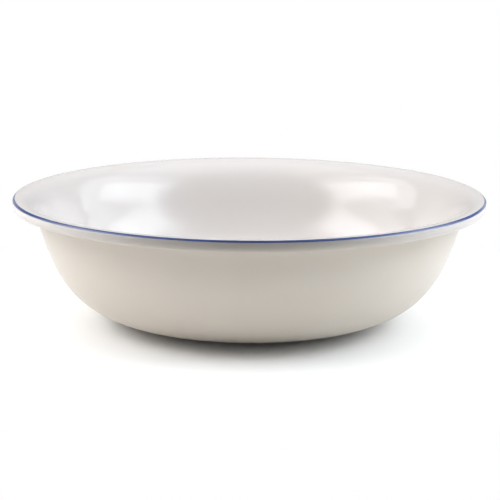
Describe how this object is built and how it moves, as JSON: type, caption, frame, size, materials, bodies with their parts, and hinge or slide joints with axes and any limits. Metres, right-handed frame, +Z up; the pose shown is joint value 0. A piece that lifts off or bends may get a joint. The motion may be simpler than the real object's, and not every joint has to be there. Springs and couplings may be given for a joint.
{
  "type": "salad bowl",
  "caption": "Wide round salad bowl with a deep curved wall, a flared lip with a rolled edge, a painted rim line and a low foot ring, for serving food.",
  "frame": {"origin": "middle of the foot ring's standing face, on the bowl's axis", "axes": "+Z up along the bowl's axis of symmetry, X and Y level"},
  "size_m": [0.28, 0.28, 0.0755],
  "materials": {
    "stoneware": "bare fired stoneware, warm buff, matt and slightly gritty",
    "inner_glaze": "warm white glaze, glossy",
    "outer_glaze": "warm white glaze, satin gloss",
    "rim_colour": "cobalt blue line fired into the glaze, glossy"
  },
  "bodies": {
    "root": {"clay_body": "stoneware", "inner_glaze": "inner_glaze", "outer_glaze": "outer_glaze", "foot_glaze": "outer_glaze", "rim_line": "rim_colour"}
  },
  "joints": []
}
